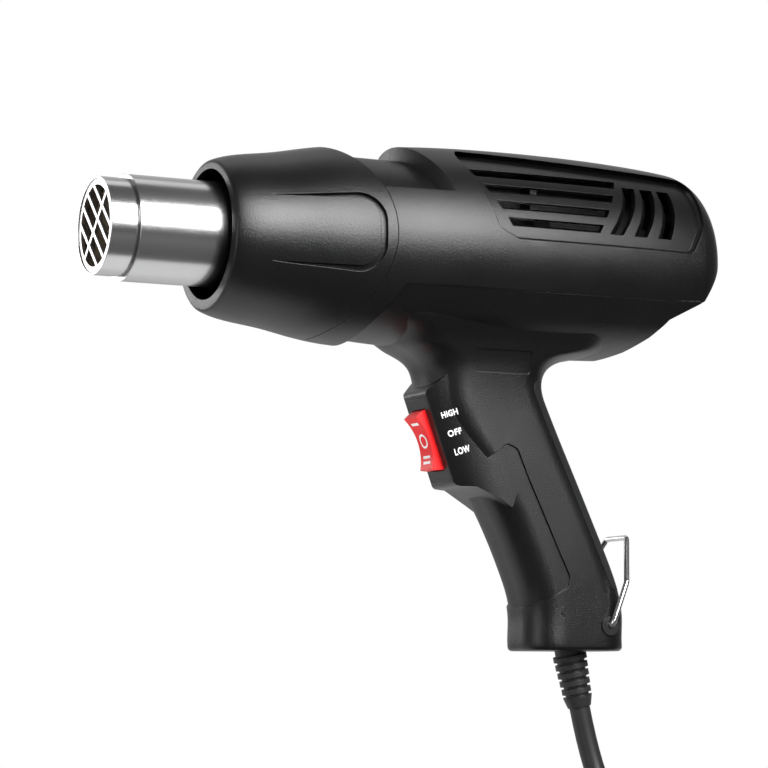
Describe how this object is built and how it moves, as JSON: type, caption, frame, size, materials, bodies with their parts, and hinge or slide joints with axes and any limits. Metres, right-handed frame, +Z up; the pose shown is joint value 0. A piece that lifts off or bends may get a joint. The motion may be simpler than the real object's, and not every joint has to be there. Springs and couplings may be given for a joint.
{
  "type": "embossing heat tool",
  "caption": "Corded pistol-grip hot-air tool with a grilled steel nozzle, vented barrel, three-position rocker and a swinging wire hanging bail.",
  "frame": {"origin": "middle of the grip, in the housing's split plane, 100 mm below the barrel's axis", "axes": "+Z up along the handle's side of the tool to the barrel, -X out of the nozzle, the side without screw holes faces -Y"},
  "size_m": [0.2369, 0.0776, 0.381],
  "materials": {
    "bail_chrome": "polished",
    "board": "paper laminate",
    "body_black": "fine-grained satin black",
    "brass": "bare",
    "bright_steel": "bright turned steel",
    "brushed_sleeve": "brushed steel",
    "component_black": "moulded",
    "component_blue": "dipped",
    "cord_black": "satin flexible PVC",
    "grille_steel": "pressed steel",
    "grip_rubber": "soft matt black",
    "heating_wire": "oxidised wire",
    "inner_plastic": "heat-proof moulding",
    "magnet": "ferrite",
    "mica": "mica",
    "rocker_red": "red moulding",
    "screw_steel": "dark screw steel",
    "switch_black": "smooth satin",
    "tie_black": "soft strap",
    "zinc": "zinc plated"
  },
  "bodies": {
    "root": {"nozzle_tube": "bright_steel", "heat_sleeve": "brushed_sleeve", "outlet_grille": "grille_steel", "mica_sleeve": "mica", "heater_former": "mica", "heating_coil": "heating_wire", "thermal_cutoff": "zinc", "heater_terminal_plate": "mica", "nozzle_mount_ring": "inner_plastic", "nose_shroud": "body_black", "housing_left": "body_black", "housing_right": "body_black", "rear_grip_strip": "grip_rubber", "housing_screws": "screw_steel", "air_duct": "inner_plastic", "motor_bracket": "zinc", "motor_can": "zinc", "motor_magnets": "magnet", "motor_end_cap": "inner_plastic", "motor_screws": "screw_steel", "motor_damper": "grip_rubber", "rectifier_board": "board", "rectifier_diodes": "component_black", "suppression_capacitor": "component_blue", "switch_body": "switch_black", "switch_terminals": "brass", "bail_bushings": "switch_black", "strain_relief": "cord_black", "cord_inlet": "cord_black", "cord_clamp": "inner_plastic", "cord_clamp_screws": "screw_steel", "supply_cord": "cord_black", "cord_coil": "cord_black", "cord_tail": "cord_black", "cord_tie": "tie_black", "plug_body": "cord_black", "plug_blades": "brass"},
    "fan_rotor": {"fan_impeller": "inner_plastic", "motor_shaft": "screw_steel", "motor_armature": "zinc", "motor_commutator": "brass"},
    "rocker": {"switch_rocker": "rocker_red"},
    "bail": {"wire_bail": "bail_chrome"}
  },
  "joints": [
    {"name": "fan_spin", "type": "hinge", "parent": "root", "child": "fan_rotor", "pos_m": [-0.0515, 0, 0.1], "axis": [1, 0, 0], "continuous": true},
    {"name": "rocker_tilt", "type": "hinge", "parent": "root", "child": "rocker", "pos_m": [-0.04359, 0, 0.03181], "axis": [0, 1, 0], "range_deg": [-12, 12]},
    {"name": "bail_swing", "type": "hinge", "parent": "root", "child": "bail", "pos_m": [0.021, 0, -0.0348], "axis": [0, 1, 0], "range_deg": [-16, 135]}
  ]
}
